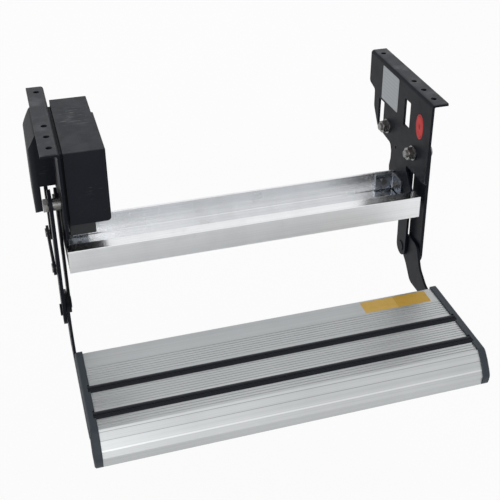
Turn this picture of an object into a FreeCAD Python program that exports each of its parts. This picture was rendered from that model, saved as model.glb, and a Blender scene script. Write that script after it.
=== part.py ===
import FreeCAD, Part
import math
import os

V = FreeCAD.Vector

# Electric entry step for a caravan, hung from the floor by two flanged brackets.
# X runs along the tread, Y from the front to the rear, Z is up, and the tread is down.
# The origin is the middle of the outer bolt pattern, on top of the flanges.
# Side view places are (back, down): behind the flanges' front edge and below their top.
# All side pieces are drawn for the right side and mirrored for the left.

# Brackets
plate_gap = 540.0
plate_thick = 4.0
bend_inside = 2.0
flange_length = 235.0
flange_width = 26.0
bolt_hole = 9.0
bolt_hole_out = 12.0
bolt_hole_end = 22.0
bolt_pitch = 35.0
slot_width = 22.0
slot_length = 46.0
front_slot = (83.0, 51.0)
rear_slot = (181.0, 92.0)
service_hole = 5.0
service_place = (114.0, 125.0)
front_depth = 136.0
rear_depth = 56.0
plate_edge = 20.0
lobe_back = 17.0
lobe_depth = 190.0

# Cross channel
channel_front = 18.0
channel_deep = 98.0
channel_top = 166.0
channel_height = 37.0
rail_deep = 20.0
rail_wall = 3.0
floor_thick = 4.0
notch_clearance = 0.5
cleat_long = 34.0
cleat_thick = 3.0
cleat_height = 28.0
cleat_bolt = 6.0

# Linkage
front_pivot = (50.0, 103.0)
arm_drop = 181.0
arm_lean = 2.0
pivot_back = 30.0
pivot_drop = 10.0
front_arm_width = 44.0
rear_arm_width = 36.0
rear_arm_thick = 4.0
front_arm_thick = 5.0
tread_plate_thick = 4.0
layer_gap = 1.0
plate_layer_gap = 2.0
pivot_bolt = 12.0
sleeve_width = 18.0
across_flats = 19.0
nut_height = 9.0
head_height = 7.5
thread_end = 2.0
washer_width = 24.0
washer_thick = 2.5
thin_head = 1.0
pin_head = 2.7
running_clearance = 0.05
side_clearance = 0.3
hole_clearance = 0.5

# Drive
crank_back = 101.0
crank_length = 105.0
crank_eye = 17.0
crank_tip = 12.0
rod_width = 22.0
rod_thick = 4.0
drive_pin = 8.0
drive_head = 1.5
shaft_width = 14.0
shaft_deep = 30.0
boss_width = 30.0
cover_front = 8.0
cover_length = 180.0
cover_top = 4.0
cover_height = 113.0
cover_width = 56.5
cover_step = 2.5
cover_shoulder = 120.0
cover_wall = 2.5
cover_corner = 6.0
mount_thick = 4.0
gearbox_width = 36.0
gearbox_front = 30.0
gearbox_room = 5.0
gearbox_bottom = 148.0
gearbox_shoulder = 104.0
motor_width = 46.0
motor_length = 90.0
worm_centres = 33.0
gland_width = 15.0
gland_length = 14.0

# Guard
guard_out = 34.0
guard_thick = 2.5
guard_front = 130.0
guard_length = 102.0
guard_top = 30.0
guard_tab = 24.0
guard_bevel = 26.0
guard_corner = 9.0
guard_mouth = 116.0
guard_bottom = 164.0
guard_return = 11.0

# Tread
tread_back = -43.0
tread_deep = 183.0
tread_drop = 16.0
tread_length = 548.0
tread_thick = 26.0
nose_height = 47.0
nose_deep = 38.0
nose_foot = 30.0
nose_slant = 22.0
top_skin = 5.0
skin = 2.5
rib_pitch = 52.0
plain_band = 36.0
groove_pitch = 5.0
groove_width = 1.2
groove_deep = 0.6
strip_width = 15.0
strip_seat = 2.4
strip_rise = 1.8
strip_lap = 3.0
rear_strip = 80.5
front_strip = 133.5
cap_thick = 11.0
cap_margin = 2.5
cap_round = 9.0
cap_chamfer = 1.8
eye_radius = 16.0
tongue_deep = 19.0
tongue_front = -178.0
tongue_flange = 49.0
screw_width = 5.0
screw_end = 20.0

plate_in = plate_gap / 2
plate_out = plate_in + plate_thick
rear_arm_in = plate_out + plate_layer_gap
rear_arm_out = rear_arm_in + rear_arm_thick
tread_plate_in = rear_arm_out + layer_gap
tread_plate_out = tread_plate_in + tread_plate_thick
front_arm_in = tread_plate_out + layer_gap
front_arm_out = front_arm_in + front_arm_thick
rod_in = front_arm_out + layer_gap
rod_out = rod_in + rod_thick
mount_in = plate_in - mount_thick
guard_outside = plate_out + guard_out
rear_pivot = (front_pivot[0] + pivot_back, front_pivot[1] + pivot_drop)
front_pin = (front_pivot[0] - arm_lean, front_pivot[1] + arm_drop)
rear_pin = (front_pin[0] + pivot_back, front_pin[1] + pivot_drop)
crank_pivot = (front_pivot[0] + crank_back, front_pivot[1])
crank_share = crank_length / math.hypot(arm_drop, arm_lean)
lug_pin = (front_pivot[0] - arm_lean * crank_share, front_pivot[1] + arm_drop * crank_share)
crank_pin = (lug_pin[0] + crank_back, lug_pin[1])
channel_bottom = channel_top + channel_height
channel_back = channel_front + channel_deep
rail_back = channel_front + rail_deep
floor_top = channel_bottom - floor_thick
wall_inside = channel_back - floor_thick
cleat_bottom = floor_top - 2
cleat_middle = cleat_bottom - cleat_height / 2
cover_bottom = cover_top + cover_height
cover_rear = cover_front + cover_length
gearbox_rear = cover_rear - gearbox_room
cover_inboard = mount_in - cover_width
tread_front = tread_back - tread_deep
tread_end = tread_length / 2
tread_down = front_pin[1] + tread_drop
tread_under = tread_down + tread_thick
flange_bottom = tread_under + tread_plate_thick
flange_rear = tread_back - 17
cheek_top = tread_under + 3 * tread_plate_thick
LEFT = -1
RIGHT = 1


def save(name, *solids):
    """Write one sub-part, made of one or more separate solids."""
    shape = solids[0] if len(solids) == 1 else Part.makeCompound(list(solids))
    shape.exportStep("parts/" + name + ".step")


def handed(shape, side):
    """The right-hand shape, or its mirror image on the left."""
    return shape.mirror(V(0, 0, 0), V(1, 0, 0)) if side == LEFT else shape


def place(back, down, x=0.0):
    return V(x, back - flange_length / 2, -down)


def cross_view(x, down):
    return V(x, 0, -down)


def plan_view(x, back):
    return place(back, 0, x)


def outline(corners, view):
    """Close (a, b, radius) corners into a wire, with an arc at each corner that has a radius."""
    points = [view(a, b) for a, b, radius in corners]
    edges = []
    ends = []
    for i, (a, b, radius) in enumerate(corners):
        here = points[i]
        before = points[i - 1] - here
        after = points[(i + 1) % len(points)] - here
        if radius <= 0:
            ends.append((here, here))
            continue
        half = before.getAngle(after) / 2
        reach = min(radius / math.tan(half), 0.49 * before.Length, 0.49 * after.Length)
        towards_before = V(before).normalize()
        towards_after = V(after).normalize()
        start = here + towards_before * reach
        end = here + towards_after * reach
        inward = (towards_before + towards_after).normalize()
        middle = here + inward * (reach / math.cos(half) - reach * math.tan(half))
        edges.append(Part.Arc(start, middle, end).toShape())
        ends.append((start, end))
    for i in range(len(ends)):
        leaving = ends[i - 1][1]
        arriving = ends[i][0]
        if leaving.distanceToPoint(arriving) > 1e-6:
            edges.append(Part.LineSegment(leaving, arriving).toShape())
    return Part.Wire(Part.__sortEdges__(edges))


def plate(corners, x_from, x_to):
    """Extrude a side view outline between two X planes."""
    solid = Part.Face(outline(corners, place)).extrude(V(x_to - x_from, 0, 0))
    return solid.translated(V(x_from, 0, 0))


def section(corners, back_from, back_to):
    """Extrude an (x, down) cross section from one place back to another."""
    solid = Part.Face(outline(corners, cross_view)).extrude(V(0, back_to - back_from, 0))
    return solid.translated(place(back_from, 0))


def folded(path, thick, inside):
    """Corners of a bent sheet: one face, then the other face on its left, with round bends."""
    near = []
    far = []
    for i, (a, b) in enumerate(path):
        start = path[max(i - 1, 0)]
        end = path[min(i + 1, len(path) - 1)]
        before = V(a - start[0], b - start[1], 0) if i else V(end[0] - a, end[1] - b, 0)
        after = V(end[0] - a, end[1] - b, 0) if i < len(path) - 1 else V(before)
        before.normalize()
        after.normalize()
        mitre = V(-before.y - after.y, before.x + after.x, 0) * (thick / (1 + before.dot(after)))
        turn = before.cross(after).z * thick
        radii = [inside, inside + abs(thick)] if turn > 0 else [inside + abs(thick), inside]
        radii = radii if abs(turn) > 1e-9 else [0.0, 0.0]
        near.append((a, b, radii[1]))
        far.append((a + mitre.x, b + mitre.y, radii[0]))
    return near + far[::-1]


def bar(at, width, x_from, x_to):
    """A round bar along X."""
    return Part.makeCylinder(width / 2, x_to - x_from, place(at[0], at[1], x_from), V(1, 0, 0))


def ring(at, width, hole, x_from, x_to):
    return bar(at, width, x_from, x_to).cut(bar(at, hole, x_from - 1, x_to + 1))


def bored(shape, holes, x_from, x_to):
    """Cut running-fit holes along X through a shape, each given as (place, width)."""
    for at, width in holes:
        shape = shape.cut(bar(at, width + 2 * running_clearance, x_from - 1, x_to + 1))
    return shape


def hexagon(at, flats, x_from, x_to):
    """A hexagonal bar along X with turned-down corners at both ends."""
    corner = flats / math.sqrt(3)
    turns = [math.radians(60 * i + 30) for i in range(6)]
    corners = [(at[0] + corner * math.cos(turn), at[1] + corner * math.sin(turn), 0) for turn in turns]
    turned = bar(at, 2 * corner, x_from, x_to)
    rims = [edge for edge in turned.Edges if len(edge.Vertexes) == 1]
    turned = turned.makeChamfer(corner - flats / 2, rims)
    return plate(corners, x_from, x_to).common(turned)


def upright(x, back, width, down_from, down_to):
    """A round bar along Z between two depths."""
    return Part.makeCylinder(width / 2, down_to - down_from, place(back, down_to, x), V(0, 0, 1))


def lengthwise(x, back, down, width, length):
    """A round bar along Y from one place back."""
    return Part.makeCylinder(width / 2, length, place(back, down, x), V(0, 1, 0))


def block(x_from, x_to, back_from, back_to, down_from, down_to):
    corner = place(back_from, down_to, x_from)
    return Part.makeBox(x_to - x_from, back_to - back_from, down_to - down_from, corner)


def link(start, start_eye, end, end_eye, x_from, x_to):
    """A flat link with a round eye at each end and straight flanks that touch both eyes."""
    along = place(*end) - place(*start)
    length = along.Length
    along.normalize()
    across = V(1, 0, 0).cross(along)
    lean = (start_eye - end_eye) / length
    flank = math.sqrt(1 - lean * lean)
    first = place(start[0], start[1], x_from)
    last = place(end[0], end[1], x_from)
    near = [first + along * (start_eye * lean) + across * (start_eye * flank * hand) for hand in (1, -1)]
    far = [last + along * (end_eye * lean) + across * (end_eye * flank * hand) for hand in (1, -1)]
    tip = last + along * end_eye
    heel = first - along * start_eye
    edges = [Part.LineSegment(near[0], far[0]), Part.Arc(far[0], tip, far[1]),
             Part.LineSegment(far[1], near[1]), Part.Arc(near[1], heel, near[0])]
    wire = Part.Wire([edge.toShape() for edge in edges])
    return Part.Face(wire).extrude(V(x_to - x_from, 0, 0))


def slot(centre):
    back, down = centre
    half_wide = slot_width / 2
    half_long = slot_length / 2
    corners = [(back - half_wide, down - half_long, 2), (back + half_wide, down - half_long, 2),
               (back + half_wide, down + half_long, 2), (back - half_wide, down + half_long, 2)]
    return plate(corners, plate_in - 1, plate_out + 1)


def bolt_places():
    """Places of the flange holes behind its front edge."""
    return [bolt_hole_end + i * bolt_pitch for i in range(3)] + [flange_length - bolt_hole_end]


def bracket_outline():
    """Side view of a bracket, with a tongue in the trough and a notch over the rear wall."""
    slot_side = rear_slot[0] + slot_width / 2
    notch_front = wall_inside - notch_clearance
    notch_back = channel_back + notch_clearance
    tongue = rail_back + 4
    lobe = channel_back + lobe_back
    neck = (front_depth + channel_top) / 2 + 2
    return [(0, 0, 2), (flange_length, 0, 2), (flange_length, rear_depth, 6),
            (slot_side + plate_edge, rear_depth + 6, 5), (slot_side + plate_edge - 1, rear_slot[1], 12),
            (crank_pivot[0] + plate_edge * 2, front_depth - 14, 12),
            (service_place[0] + plate_edge + 2, front_depth - 9, 9), (lobe - 2, front_depth + 3, 5),
            (lobe - 2, neck, 8), (lobe + 2, channel_top + 2, 6), (lobe, lobe_depth - 8, 6),
            (lobe - lobe_back / 2, lobe_depth, 4), (notch_back, lobe_depth, 1),
            (notch_back, channel_top, 0), (notch_front, channel_top, 0),
            (notch_front, floor_top, 2), (tongue, floor_top, 2), (tongue + 4, channel_top + 4, 30),
            (rear_pivot[0] - 2, front_depth, 5), (1, front_depth, 4)]


def bracket(side):
    """A steel bracket: a side plate with its top edge turned out as the bolting flange."""
    path = [(plate_out, channel_bottom), (plate_out, plate_thick), (plate_in + flange_width, plate_thick)]
    shape = section(folded(path, -plate_thick, bend_inside), 0, flange_length)
    shape = shape.common(plate(bracket_outline(), plate_in - 1, plate_in + flange_width + 1))
    for centre in (front_slot, rear_slot):
        shape = shape.cut(slot(centre))
    for back in bolt_places():
        shape = shape.cut(upright(plate_in + bolt_hole_out, back, bolt_hole, -1, plate_thick + 1))
    passing = shaft_width + 2 if side == LEFT else pivot_bolt
    holes = [(service_place, service_hole), (cleat_plate_bolt(), cleat_bolt),
             (front_pivot, pivot_bolt), (crank_pivot, passing)]
    return handed(bored(shape, holes, plate_in, plate_out), side)


def cross_channel():
    """An aluminium section: a hollow front rail and an open trough behind it."""
    end = plate_out
    outer = [(channel_front, channel_top, 1), (rail_back, channel_top, 1), (rail_back, floor_top, 1.5),
             (wall_inside, floor_top, 1.5), (wall_inside, channel_top, 1), (channel_back, channel_top, 1),
             (channel_back, channel_bottom, 1.5), (channel_front, channel_bottom, 1.5)]
    hollow = block(-end - 1, end + 1, channel_front + rail_wall, rail_back - rail_wall,
                   channel_top + rail_wall, channel_bottom - rail_wall)
    shape = plate(outer, -end, end).cut(hollow)
    for side in (LEFT, RIGHT):
        shape = shape.cut(handed(cleat_wall_bolt(2 * running_clearance), side))
    return shape


def cleat_plate_bolt():
    """The bolt place through a cleat's leg on the bracket."""
    return (wall_inside - cleat_long * 0.6, cleat_middle)


def cleat_wall_bolt(clearance):
    """The bolt through a cleat's leg on the rear wall, or its hole with a clearance."""
    x = plate_in - cleat_long * 0.6
    start = wall_inside - cleat_thick - 1
    return lengthwise(x, start, cleat_middle, cleat_bolt + clearance, floor_thick + cleat_thick + 2)


def cleat(side):
    """An angle that ties a bracket's tongue to the channel's rear wall."""
    path = [(plate_in - cleat_long, wall_inside), (plate_in, wall_inside), (plate_in, wall_inside - cleat_long)]
    face = Part.Face(outline(folded(path, -cleat_thick, bend_inside), plan_view))
    shape = face.extrude(V(0, 0, cleat_height)).translated(V(0, 0, -cleat_bottom))
    shape = shape.cut(cleat_wall_bolt(2 * running_clearance))
    shape = bored(shape, [(cleat_plate_bolt(), cleat_bolt)], plate_in - cleat_thick, plate_in)
    return handed(shape, side)


def cleat_bolts(side):
    """Round-headed bolts with nuts: one through the bracket, one through the rear wall."""
    at = cleat_plate_bolt()
    nut_at = plate_in - cleat_thick
    first = bar(at, cleat_bolt, nut_at - 7, plate_out + 1)
    first = first.fuse(bar(at, cleat_bolt * 1.9, plate_out, plate_out + 1.2))
    first = first.fuse(hexagon(at, 10, nut_at - 5, nut_at))
    second = cleat_wall_bolt(0)
    x = plate_in - cleat_long * 0.6
    second = second.fuse(lengthwise(x, wall_inside - cleat_thick - 3, cleat_middle, cleat_bolt * 1.9, 3))
    second = second.fuse(lengthwise(x, channel_back, cleat_middle, cleat_bolt * 1.9, 2.5))
    return [handed(bolt.removeSplitter(), side) for bolt in (first, second)]


def fixed_bolt(at, side, seat):
    """A bolt whose head stands outside the given X plane, with its washer and nut inside the plate."""
    washer_in = plate_in - washer_thick
    nut_in = washer_in - nut_height
    bolt = bar(at, pivot_bolt, nut_in - thread_end, seat + 1)
    bolt = bolt.fuse(hexagon(at, across_flats, seat, seat + head_height)).removeSplitter()
    hole = pivot_bolt + 2 * running_clearance
    washer = ring(at, washer_width, hole, washer_in, plate_in)
    nut = bored(hexagon(at, across_flats, nut_in, washer_in), [(at, pivot_bolt)], nut_in, washer_in)
    return [handed(shape, side) for shape in (bolt, washer, nut)]


def pivot_sleeve(side):
    """The sleeve that holds the front arm off the plate and clamps under the bolt."""
    hole = pivot_bolt + 2 * running_clearance
    return handed(ring(front_pivot, sleeve_width, hole, plate_out, front_arm_in - side_clearance), side)


def front_arm(side):
    half = front_arm_width / 2
    arm = link(front_pivot, half, front_pin, half, front_arm_in, front_arm_out)
    holes = [(front_pivot, pivot_bolt), (front_pin, pivot_bolt)]
    if side == LEFT:
        holes.append((lug_pin, drive_pin))
    return handed(bored(arm, holes, front_arm_in, front_arm_out), side)


def rear_arm(side):
    arm = link(rear_pivot, rear_arm_width / 2, rear_pin, eye_radius, rear_arm_in, rear_arm_out)
    holes = [(rear_pivot, pivot_bolt), (rear_pin, pivot_bolt)]
    return handed(bored(arm, holes, rear_arm_in, rear_arm_out), side)


def rear_stud(side):
    """The shouldered stud on the plate that carries the rear arm."""
    head_in = rear_arm_out + side_clearance
    shoulder = bar(rear_pivot, sleeve_width, plate_out, rear_arm_in - side_clearance)
    shank = bar(rear_pivot, pivot_bolt, plate_out, head_in)
    head = bar(rear_pivot, sleeve_width, head_in, head_in + pin_head)
    return handed(shoulder.fuse(shank).fuse(head).removeSplitter(), side)


def front_pin_solid(side):
    """The pin fixed in the tread's plate, with its head outside the front arm."""
    start = front_arm_out + side_clearance
    pin = bar(front_pin, pivot_bolt, tread_plate_in, start)
    return handed(pin.fuse(bar(front_pin, sleeve_width, start, start + pin_head)).removeSplitter(), side)


def rear_pin_solid(side):
    """The pin fixed in the tread's plate, with a thin head inside the rear arm."""
    start = rear_arm_in - side_clearance
    pin = bar(rear_pin, pivot_bolt, start, tread_plate_out)
    return handed(pin.fuse(bar(rear_pin, sleeve_width, start - thin_head, start)).removeSplitter(), side)


def tread_plate(side):
    """The swept plate under the tread's end: two eyes, a long tongue and a flange under the board."""
    front_back, front_down = front_pin
    rear_back, rear_down = rear_pin
    low = tread_under + tongue_deep
    corners = [(front_back - eye_radius - 2, front_down - eye_radius - 2, eye_radius - 1),
               (front_back + eye_radius, front_down - eye_radius - 2, 10),
               (rear_back + eye_radius + 1, rear_down - eye_radius, eye_radius - 2),
               (rear_back + eye_radius, rear_down + 4, eye_radius - 2),
               (rear_back - 14, tread_under - 5, 30), (front_back - 4, low, 16),
               (tongue_front + 30, low, 40), (tongue_front, cheek_top, 3),
               (tongue_front, tread_under, 0), (tread_back + 6, tread_under, 8),
               (tread_back + 34, tread_under - 7, 26), (front_back - 34, tread_under - 24, 30)]
    shape = plate(corners, tread_plate_in, tread_plate_out)
    shape = shape.cut(block(tread_plate_in - 1, tread_plate_out + 1, tongue_front - 1, flange_rear,
                            tread_under - 1, cheek_top))
    path = [(tread_plate_out - tongue_flange, tread_under), (tread_plate_out, tread_under),
            (tread_plate_out, cheek_top)]
    flange = section(folded(path, tread_plate_thick, bend_inside), tongue_front, flange_rear)
    shape = shape.fuse(flange).removeSplitter()
    holes = [(front_pin, pivot_bolt), (rear_pin, pivot_bolt)]
    shape = bored(shape, holes, tread_plate_in, tread_plate_out)
    for x, back in screw_places():
        shape = shape.cut(upright(x, back, screw_width + hole_clearance, tread_under - 1, flange_bottom + 1))
    return handed(shape, side)


def screw_places():
    x = tread_plate_out - tongue_flange * 0.7
    first = flange_rear - screw_end
    last = tongue_front + screw_end
    return [(x, first), (x, (first + last) / 2), (x, last)]


def tread_screws(side):
    """Pan-headed screws through the flange into the board's lower skin."""
    solids = []
    for x, back in screw_places():
        screw = upright(x, back, screw_width, tread_under - skin - 3, flange_bottom + 1)
        head = upright(x, back, screw_width * 2, flange_bottom, flange_bottom + 2.4)
        solids.append(handed(screw.fuse(head).removeSplitter(), side))
    return solids


def board_corners(round_off, nose_round):
    """Side view of the tread: a thin rear part and a deep nose with a faceted front."""
    top = tread_down
    front = tread_front
    low = top + nose_height
    rear = [(tread_back, top), (tread_back, tread_under), (front + nose_deep, tread_under),
            (front + nose_foot, low)]
    nose = [(front + 2, low), (front, top + nose_height * 0.66),
            (front + nose_slant * 0.18, top + nose_height * 0.49),
            (front + nose_slant * 0.55, top + nose_height * 0.235), (front + nose_slant, top)]
    return ([(back, down, round_off) for back, down in rear]
            + [(back, down, nose_round) for back, down in nose])


def strip_centres():
    return [tread_back - rear_strip, tread_back - front_strip]


def groove_places():
    """Grooves across the top, left out on the plain rear band and under the strips."""
    count = int((tread_deep - plain_band - 24) / groove_pitch)
    places = [tread_back - plain_band - i * groove_pitch for i in range(count + 1)]
    reach = strip_width / 2 + groove_pitch / 2
    return [back for back in places if all(abs(back - centre) > reach for centre in strip_centres())]


def tread_board():
    """The hollow tread extrusion: ribbed inside, grooved on top, with two strip seats."""
    board = plate(board_corners(1.5, 1.5), -tread_end, tread_end)
    far = tread_end + 1
    inside = cap_face(-skin, 0)
    hollow = inside.extrude(V(2 * far, 0, 0)).translated(V(-far, 0, 0))
    hollow = hollow.cut(block(-far, far, tread_front, tread_back, tread_down, tread_down + top_skin))
    for i in range(1, 4):
        rib = tread_back - i * rib_pitch + skin
        hollow = hollow.cut(block(-far, far, rib - skin / 2, rib + skin / 2, tread_down, tread_down + nose_height))
    board = board.cut(hollow)
    for centre in strip_centres():
        board = board.cut(block(-far, far, centre - strip_width / 2, centre + strip_width / 2,
                                tread_down - 1, tread_down + strip_seat))
    for back in groove_places():
        board = board.cut(block(-far, far, back - groove_width / 2, back + groove_width / 2,
                                tread_down - 1, tread_down + groove_deep))
    for x, back in screw_places():
        hole = upright(x, back, screw_width + 2 * running_clearance, tread_under - skin - 1, tread_under + 1)
        for side in (LEFT, RIGHT):
            board = board.cut(handed(hole, side))
    return board


def grip_strip(centre):
    """A rubber strip in its seat, with a ribbed crown that laps over the end caps."""
    half = strip_width / 2
    snug = half - running_clearance
    crown = tread_down - strip_rise
    under = tread_down + strip_seat
    rib = (strip_width - 5) / 4
    face = [(centre - half + 1.5, crown, 0.5)]
    for i in range(1, 4):
        start = centre - half + 1.5 + i * rib
        face += [(start - 0.6, crown, 0), (start - 0.3, crown - 0.7, 0),
                 (start + 0.3, crown - 0.7, 0), (start + 0.6, crown, 0)]
    face += [(centre + half - 3.5, crown, 0.5)]
    strip = plate([(centre - snug, under, 0), (centre - snug, tread_down, 0)] + face
                  + [(centre + snug, tread_down, 0), (centre + snug, under, 0)], -tread_end, tread_end)
    lap_end = tread_end + strip_lap
    lap = plate([(centre - snug, tread_down, 0)] + face + [(centre + snug, tread_down, 0)], -lap_end, lap_end)
    return strip.fuse(lap).removeSplitter()


def cap_face(margin, nose_round):
    """The tread's outline grown by a margin, or shrunk by a negative one."""
    base = Part.Face(outline(board_corners(0, nose_round), place))
    return base.makeOffset2D(margin, 0 if margin > 0 else 2)


def end_cap(side):
    """A moulded cap with a chamfered rim, a shallow recessed face and plugs in the board's hollows."""
    outer = tread_end + cap_thick
    cap = cap_face(cap_margin, cap_round).extrude(V(cap_thick, 0, 0)).translated(V(tread_end, 0, 0))
    rim = [edge for edge in cap.Edges if edge.BoundBox.XMin > outer - 0.01]
    cap = cap.makeChamfer(cap_chamfer, rim)
    nose_back = tread_front + nose_deep + cap_margin + 0.5
    cap = cap.cut(block(tread_end - 1, outer + 1, nose_back, tread_back + cap_margin + 1,
                        tread_under, tread_under + cap_margin + 1))
    cap = cap.cut(cap_face(-3.5, 0).extrude(V(1, 0, 0)).translated(V(outer - 0.8, 0, 0)))
    gap = running_clearance
    for centre in strip_centres():
        cap = cap.cut(block(tread_end - 1, tread_end + strip_lap + gap, centre - strip_width / 2 - gap,
                            centre + strip_width / 2 + gap, tread_down - cap_margin - 1, tread_down))
    for i in range(2):
        back = tread_back - i * rib_pitch - 6
        plug = block(tread_end - 12, tread_end, back - 30, back, tread_down + top_skin + side_clearance,
                     tread_under - skin - side_clearance)
        cap = cap.fuse(plug)
    return handed(cap.removeSplitter(), side)


def cover_hull(grow):
    """The cover's outside, or its inside when shrunk: a front part and a narrower rear part."""
    corner = cover_corner + grow
    solids = []
    shoulder = cover_front + cover_shoulder + grow
    for inboard, first, last in ((cover_inboard, cover_front - grow, shoulder),
                                 (cover_inboard + cover_step, shoulder - 1, cover_rear + grow)):
        corners = [(mount_in, cover_top - grow, 0), (mount_in, cover_bottom + grow, 0),
                   (inboard - grow, cover_bottom + grow, corner), (inboard - grow, cover_top - grow, 1.5)]
        solids.append(section(corners, first, last))
    return solids[0].fuse(solids[1]).removeSplitter()


def motor_cover():
    """A moulded cover, open towards the bracket and slightly narrower behind its shoulder."""
    shape = cover_hull(0).cut(cover_hull(-cover_wall))
    gap = side_clearance
    shape = shape.cut(block(mount_in - gearbox_width - gap, mount_in + 1, gearbox_shoulder - gap,
                            gearbox_rear + gap, cover_bottom - cover_wall - 1, cover_bottom + 1))
    return handed(shape.cut(gland_neck(2 * running_clearance)), LEFT)


def gland_neck(clearance):
    """The cable gland's neck through the cover's rear wall, or its hole with a clearance."""
    start = cover_rear - cover_wall - 2
    width = gland_width - 4 + clearance
    return lengthwise(gland_x(), start, cover_bottom - 25, width, cover_wall + 3)


def gland_x():
    return cover_inboard + cover_step + gland_width / 2 + 3


def cable_gland():
    """The gland: a neck in the wall and a rounded dome nut, bored for the cable."""
    down = cover_bottom - 25
    dome = lengthwise(gland_x(), cover_rear, down, gland_width, gland_length)
    tip = [edge for edge in dome.Edges if edge.BoundBox.YMin > place(cover_rear, 0).y + gland_length - 0.01]
    dome = dome.makeFillet(4.0, tip)
    bore = lengthwise(gland_x(), cover_rear - 12, down, 6.5, gland_length + 20)
    return handed(gland_neck(0).fuse(dome).cut(bore).removeSplitter(), LEFT)


def motor_plate():
    """The steel plate behind the drive, cut away round the front pivot's washer."""
    rear = cover_rear - 6
    corners = [(cover_front + 6, cover_top + 6, 6), (rear, cover_top + 6, 6), (rear, crank_pivot[1] - 7, 12),
               (rear - 12, cover_bottom, 10), (cover_front + 6, cover_bottom, 6)]
    shape = plate(corners, mount_in, plate_in)
    holes = [(front_pivot, washer_width + 4), (crank_pivot, boss_width)]
    return handed(bored(shape, holes, mount_in, plate_in), LEFT)


def gearbox_housing():
    """The cast worm housing: an upper part inside the cover and a long lower part below it."""
    low = gearbox_bottom
    step = cover_bottom + side_clearance
    upper = crank_pivot[1] - worm_centres - motor_width / 2 - 2
    corners = [(gearbox_front, step, 2), (gearbox_shoulder, step, 0), (gearbox_shoulder, upper, 4),
               (gearbox_rear - 24, upper, 10), (gearbox_rear, crank_pivot[1] - 20, 16),
               (gearbox_rear, low - 10, 10), (gearbox_rear - 16, low, 8), (gearbox_front, low, 4)]
    inboard = mount_in - gearbox_width
    shape = plate(corners, inboard, mount_in)
    shape = shape.fuse(bar(crank_pivot, boss_width, mount_in - 1, plate_in)).removeSplitter()
    depth = plate_in - shaft_deep
    return handed(bored(shape, [(crank_pivot, shaft_width)], depth + 1, plate_in), LEFT)


def motor():
    """The round motor in front of the gearbox, level with the worm."""
    x = mount_in - motor_width / 2 - 1
    start = gearbox_shoulder - motor_length
    can = lengthwise(x, start, crank_pivot[1] - worm_centres, motor_width, motor_length)
    front = [edge for edge in can.Edges if edge.BoundBox.YMax < place(start, 0).y + 0.01]
    return handed(can.makeFillet(4.0, front), LEFT)


def drive_shaft():
    """The output shaft, its shoulder behind the crank and the bolt head that clamps the crank."""
    shaft = bar(crank_pivot, shaft_width, plate_in - shaft_deep + side_clearance, front_arm_out)
    shoulder = bar(crank_pivot, shaft_width + 8, plate_out + side_clearance, front_arm_in)
    head = hexagon(crank_pivot, across_flats, front_arm_out, front_arm_out + 5)
    return handed(shaft.fuse(shoulder).fuse(head).removeSplitter(), LEFT)


def crank():
    arm = link(crank_pivot, crank_eye, crank_pin, crank_tip, front_arm_in, front_arm_out)
    holes = [(crank_pivot, shaft_width), (crank_pin, drive_pin)]
    return handed(bored(arm, holes, front_arm_in, front_arm_out), LEFT)


def drive_stud(at):
    """A stud fixed in a link, with a flat head outside the rod."""
    start = rod_out + side_clearance
    stud = bar(at, drive_pin, front_arm_in, start)
    stud = stud.fuse(bar(at, drive_pin + 6, start, start + drive_head))
    return handed(stud.removeSplitter(), LEFT)


def drive_rod():
    rod = link(lug_pin, rod_width / 2, crank_pin, rod_width / 2, rod_in, rod_out)
    return handed(bored(rod, [(lug_pin, drive_pin), (crank_pin, drive_pin)], rod_in, rod_out), LEFT)


def guard_hull(shrink, inboard, mouth, bottom):
    """The guard's outside, or its inside when shrunk, between its inboard side and its outer wall."""
    top = guard_top + shrink
    outside = guard_outside - shrink
    bevel = guard_top + guard_bevel
    lip = outside - guard_return + shrink
    profile = [(inboard, top, 0), (guard_outside - guard_bevel / 2, top, guard_corner - shrink),
               (outside, bevel, guard_corner - shrink), (outside, bottom, 0), (lip, bottom, 0),
               (lip, mouth, 0), (inboard, mouth, 0)]
    front = guard_front + shrink
    back = guard_front + guard_length - shrink
    plan = [(inboard, front, 0), (outside, front, guard_corner - shrink), (outside, back, guard_corner - shrink),
            (inboard, back, 0)]
    column = Part.Face(outline(plan, plan_view)).extrude(V(0, 0, bottom)).translated(V(0, 0, -bottom))
    return section(profile, front - 1, back + 1).common(column)


def crank_guard():
    """A moulded cover outside the crank, open below, with an outer wall that hangs past its mouth."""
    back = guard_front + guard_length
    hollow = guard_hull(guard_thick, plate_out - 1, guard_bottom, guard_bottom + 1)
    shape = guard_hull(0, plate_out, guard_mouth, guard_bottom).cut(hollow)
    trim = [(guard_front - 1, guard_top - 1, 0), (back + 1, guard_top - 1, 0),
            (back + 1, guard_bottom, 2 * guard_corner), (guard_front - 1, guard_bottom, 1.5 * guard_corner)]
    shape = shape.common(plate(trim, plate_out - 1, guard_outside + 1))
    tab = block(plate_out, plate_out + guard_thick, guard_front, back, guard_top, guard_top + guard_tab)
    shape = shape.fuse(tab).removeSplitter()
    holes = [(at, screw_width) for at in guard_screw_places()]
    return handed(bored(shape, holes, plate_out, plate_out + guard_thick), LEFT)


def guard_screw_places():
    down = guard_top + guard_tab * 0.6
    return [(guard_front + 34, down), (guard_front + guard_length - 20, down)]


def guard_screws():
    """Screws through the guard's tab, with their heads on it."""
    solids = []
    for at in guard_screw_places():
        screw = bar(at, screw_width, plate_out, plate_out + guard_thick + 1)
        head = bar(at, screw_width * 2, plate_out + guard_thick, plate_out + guard_thick + 2.4)
        solids.append(handed(screw.fuse(head).removeSplitter(), LEFT))
    return solids


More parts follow.
